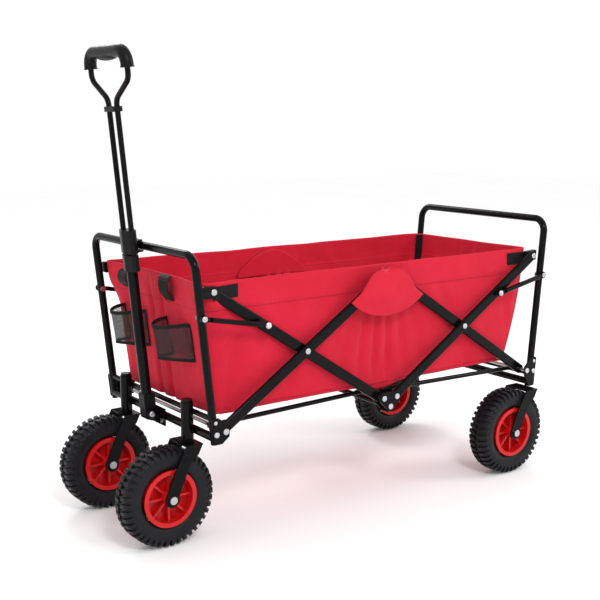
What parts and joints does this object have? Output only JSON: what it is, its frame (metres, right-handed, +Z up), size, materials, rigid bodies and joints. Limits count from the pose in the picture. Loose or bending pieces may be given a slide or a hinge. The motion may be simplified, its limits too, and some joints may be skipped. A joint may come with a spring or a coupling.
{
  "type": "folding camp wagon",
  "caption": "Four-wheel folding wagon with a fabric basket on a scissor frame, swivelling front casters and a telescoping pull handle.",
  "frame": {"origin": "on the ground, midway along the scissor frame and midway across the wheels", "axes": "+Z up, +X from the pull handle at the front to the rear, +Y from the wagon's left side to its right side"},
  "size_m": [1.0951, 0.5078, 0.9741],
  "materials": {
    "frame_black": "glossy black powder coat",
    "rivet_steel": "zinc plated",
    "black_plastic": "moulded dark plastic",
    "basket_fabric": "red woven polyester",
    "pocket_mesh": "black mesh and webbing",
    "floor_mat": "red polyester over stiff boards",
    "tyre_rubber": "black moulded tyre",
    "red_rim": "glossy red plastic"
  },
  "bodies": {
    "centre": {"centre_brackets": "frame_black", "centre_cross_tube": "frame_black", "centre_pins": "rivet_steel"},
    "front_a": {"front_a_bars": "frame_black", "front_bar_rivets": "rivet_steel", "front_bar_catches": "black_plastic"},
    "front_b": {"front_b_bars": "frame_black"},
    "front_frame": {"front_hoop": "frame_black", "front_lower_cross_tube": "frame_black", "front_upper_cross_tube": "frame_black", "caster_sleeves": "frame_black", "front_corner_plates": "frame_black", "front_base_axle": "rivet_steel", "front_frame_fasteners": "rivet_steel", "handle_bracket": "frame_black"},
    "front_link": {"front_links": "frame_black"},
    "front_floor": {"front_floor_tubes": "frame_black"},
    "basket": {"top_brackets": "frame_black", "top_pins": "rivet_steel", "side_panel_left": "basket_fabric", "side_panel_right": "basket_fabric", "front_panel": "basket_fabric", "rear_panel": "basket_fabric", "floor_board": "floor_mat", "top_flaps": "basket_fabric", "cup_pockets": "pocket_mesh"},
    "rear_a": {"rear_a_bars": "frame_black", "rear_bar_rivets": "rivet_steel", "rear_bar_catches": "black_plastic"},
    "rear_b": {"rear_b_bars": "frame_black"},
    "rear_frame": {"rear_hoop": "frame_black", "rear_lower_cross_tube": "frame_black", "rear_upper_cross_tube": "frame_black", "rear_corner_plates": "frame_black", "rear_base_axle": "rivet_steel", "rear_frame_fasteners": "rivet_steel", "rear_fork_left": "frame_black", "rear_fork_right": "frame_black", "rear_axles": "rivet_steel"},
    "rear_link": {"rear_links": "frame_black"},
    "rear_floor": {"rear_floor_tubes": "frame_black"},
    "handle_lower": {"handle_tube": "frame_black", "handle_foot": "black_plastic", "handle_collar": "black_plastic"},
    "handle_upper": {"handle_loop": "frame_black", "handle_clamp": "black_plastic", "handle_yoke": "black_plastic", "handle_grip": "black_plastic"},
    "caster_left": {"caster_fork_left": "frame_black", "front_axle_left": "rivet_steel"},
    "caster_right": {"caster_fork_right": "frame_black", "front_axle_right": "rivet_steel"},
    "front_wheel_left": {"front_tyre_left": "tyre_rubber", "front_rim_left": "red_rim"},
    "front_wheel_right": {"front_tyre_right": "tyre_rubber", "front_rim_right": "red_rim"},
    "rear_wheel_left": {"rear_tyre_left": "tyre_rubber", "rear_rim_left": "red_rim"},
    "rear_wheel_right": {"rear_tyre_right": "tyre_rubber", "rear_rim_right": "red_rim"}
  },
  "joints": [
    {"name": "fold", "type": "hinge", "parent": "centre", "child": "front_a", "pos_m": [-0.018, 0, 0.238], "axis": [0, 1, 0], "range_deg": [0, 48.5], "deforming": ["side_panel_left", "side_panel_right", "front_panel", "rear_panel", "floor_board", "cup_pockets"]},
    {"name": "front_crossing", "type": "hinge", "parent": "front_a", "child": "front_b", "pos_m": [-0.22012, 0, 0.36926], "axis": [0, 1, 0], "range_deg": [-97.01, 0]},
    {"name": "front_base", "type": "hinge", "parent": "front_b", "child": "front_frame", "pos_m": [-0.42224, 0, 0.238], "axis": [0, 1, 0], "range_deg": [0, 48.51]},
    {"name": "front_link_foot", "type": "hinge", "parent": "front_frame", "child": "front_link", "pos_m": [-0.46776, 0, 0.465], "axis": [0, 1, 0], "range_deg": [-75.94, 0]},
    {"name": "front_floor_hinge", "type": "hinge", "parent": "front_frame", "child": "front_floor", "pos_m": [-0.42224, 0, 0.238], "axis": [0, 1, 0], "range_deg": [-77.81, 0]},
    {"name": "top_hinge", "type": "hinge", "parent": "front_b", "child": "basket", "pos_m": [-0.018, 0, 0.50052], "axis": [0, 1, 0], "range_deg": [0, 48.51]},
    {"name": "rear_centre", "type": "hinge", "parent": "centre", "child": "rear_a", "pos_m": [0.018, 0, 0.238], "axis": [0, 1, 0], "range_deg": [-48.51, 0]},
    {"name": "rear_crossing", "type": "hinge", "parent": "rear_a", "child": "rear_b", "pos_m": [0.22012, 0, 0.36926], "axis": [0, 1, 0], "range_deg": [0, 97.01]},
    {"name": "rear_base", "type": "hinge", "parent": "rear_b", "child": "rear_frame", "pos_m": [0.42224, 0, 0.238], "axis": [0, 1, 0], "range_deg": [-48.51, 0]},
    {"name": "rear_link_foot", "type": "hinge", "parent": "rear_frame", "child": "rear_link", "pos_m": [0.46496, 0, 0.465], "axis": [0, 1, 0], "range_deg": [0, 77.09]},
    {"name": "rear_floor_hinge", "type": "hinge", "parent": "rear_frame", "child": "rear_floor", "pos_m": [0.42224, 0, 0.238], "axis": [0, 1, 0], "range_deg": [0, 77.81]},
    {"name": "handle_pivot", "type": "hinge", "parent": "front_frame", "child": "handle_lower", "pos_m": [-0.4715, 0, 0.233], "axis": [0, -1, 0], "range_deg": [0, 95]},
    {"name": "handle_slide", "type": "slide", "parent": "handle_lower", "child": "handle_upper", "axis": [-0.0958, 0, 0.9954], "range_m": [-0.225, 0]},
    {"name": "caster_swivel_left", "type": "hinge", "parent": "front_frame", "child": "caster_left", "pos_m": [-0.4555, -0.132, 0.25], "axis": [0, 0, 1], "continuous": true},
    {"name": "front_wheel_spin_left", "type": "hinge", "parent": "caster_left", "child": "front_wheel_left", "pos_m": [-0.5095, -0.132, 0.1], "axis": [0, 1, 0], "continuous": true},
    {"name": "rear_wheel_spin_left", "type": "hinge", "parent": "rear_frame", "child": "rear_wheel_left", "pos_m": [0.3645, -0.2156, 0.1], "axis": [0, 1, 0], "continuous": true},
    {"name": "caster_swivel_right", "type": "hinge", "parent": "front_frame", "child": "caster_right", "pos_m": [-0.4555, 0.132, 0.25], "axis": [0, 0, 1], "continuous": true},
    {"name": "front_wheel_spin_right", "type": "hinge", "parent": "caster_right", "child": "front_wheel_right", "pos_m": [-0.5095, 0.132, 0.1], "axis": [0, 1, 0], "continuous": true},
    {"name": "rear_wheel_spin_right", "type": "hinge", "parent": "rear_frame", "child": "rear_wheel_right", "pos_m": [0.3645, 0.2156, 0.1], "axis": [0, 1, 0], "continuous": true}
  ],
  "couplings": [
    {"joint": "front_crossing", "follows": "fold", "ratio": -2},
    {"joint": "front_base", "follows": "fold", "ratio": 1},
    {"joint": "front_link_foot", "follows": "fold", "ratio": -1.5655},
    {"joint": "front_floor_hinge", "follows": "fold", "ratio": -1.6041},
    {"joint": "top_hinge", "follows": "fold", "ratio": 1},
    {"joint": "rear_centre", "follows": "fold", "ratio": -1},
    {"joint": "rear_crossing", "follows": "fold", "ratio": 2},
    {"joint": "rear_base", "follows": "fold", "ratio": -1},
    {"joint": "rear_link_foot", "follows": "fold", "ratio": 1.5892},
    {"joint": "rear_floor_hinge", "follows": "fold", "ratio": 1.6041}
  ]
}
